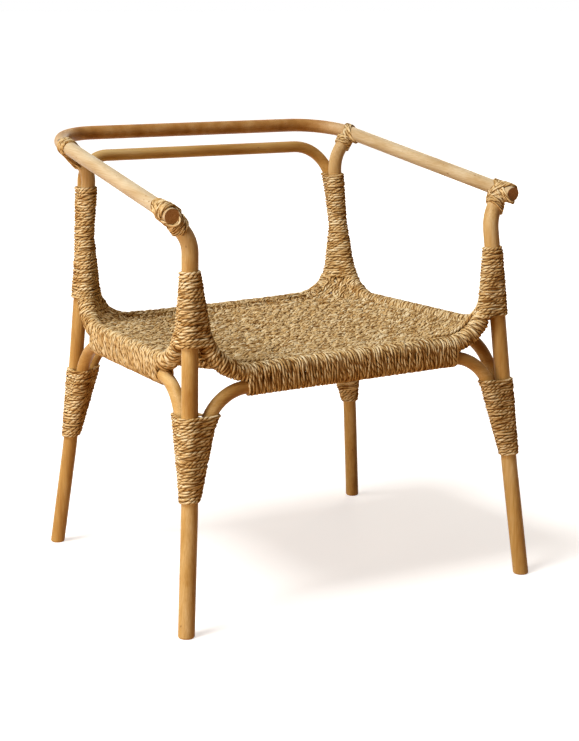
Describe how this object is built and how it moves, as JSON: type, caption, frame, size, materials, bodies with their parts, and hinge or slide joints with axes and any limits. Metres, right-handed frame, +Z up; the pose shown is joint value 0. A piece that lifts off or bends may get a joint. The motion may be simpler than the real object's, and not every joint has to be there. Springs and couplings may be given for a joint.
{
  "type": "rattan armchair",
  "caption": "Low armchair of bent rattan poles: a hoop forms arms and back, arched braces carry a woven seagrass seat, and twisted cord binds the joints.",
  "frame": {"origin": "on the floor under the middle of the chair's bounding box", "axes": "+Z up, the front of the chair faces -Y, +X is the right side as seen from the front"},
  "size_m": [0.709, 0.6744, 0.7803],
  "materials": {
    "rattan": "satin varnish",
    "seagrass": "twisted fibre, matt",
    "steel": "plain"
  },
  "bodies": {
    "root": {"arm_hoop": "rattan", "arm_hoop_screws": "steel", "arm_lashing_front_left": "seagrass", "arm_lashing_front_right": "seagrass", "arm_lashing_rear_left": "seagrass", "arm_lashing_rear_right": "seagrass", "back_rail_binding_left": "seagrass", "back_rail_binding_right": "seagrass", "back_rail_nails": "steel", "brace_front": "rattan", "brace_left": "rattan", "brace_nails": "steel", "brace_rear": "rattan", "brace_right": "rattan", "leg_binding_front_left": "seagrass", "leg_binding_front_right": "seagrass", "leg_binding_rear_left": "seagrass", "leg_binding_rear_right": "seagrass", "lower_back_rail": "rattan", "post_binding_front_left": "seagrass", "post_binding_front_right": "seagrass", "post_binding_rear_left": "seagrass", "post_binding_rear_right": "seagrass", "post_collar_front_left": "seagrass", "post_collar_front_right": "seagrass", "post_collar_rear_left": "seagrass", "post_collar_rear_right": "seagrass", "post_front_left": "rattan", "post_front_right": "rattan", "post_rear_left": "rattan", "post_rear_right": "rattan", "rail_turns_front_left_cross": "seagrass", "rail_turns_front_left_side": "seagrass", "rail_turns_front_right_cross": "seagrass", "rail_turns_front_right_side": "seagrass", "rail_turns_rear_left_cross": "seagrass", "rail_turns_rear_left_side": "seagrass", "rail_turns_rear_right_cross": "seagrass", "rail_turns_rear_right_side": "seagrass", "seat_rail_front": "rattan", "seat_rail_left": "rattan", "seat_rail_nails": "steel", "seat_rail_rear": "rattan", "seat_rail_right": "rattan", "seat_stretcher": "rattan", "seat_weave": "seagrass", "stretcher_screws": "steel", "woven_cover_front": "seagrass", "woven_cover_left": "seagrass", "woven_cover_rear": "seagrass", "woven_cover_right": "seagrass"}
  },
  "joints": []
}
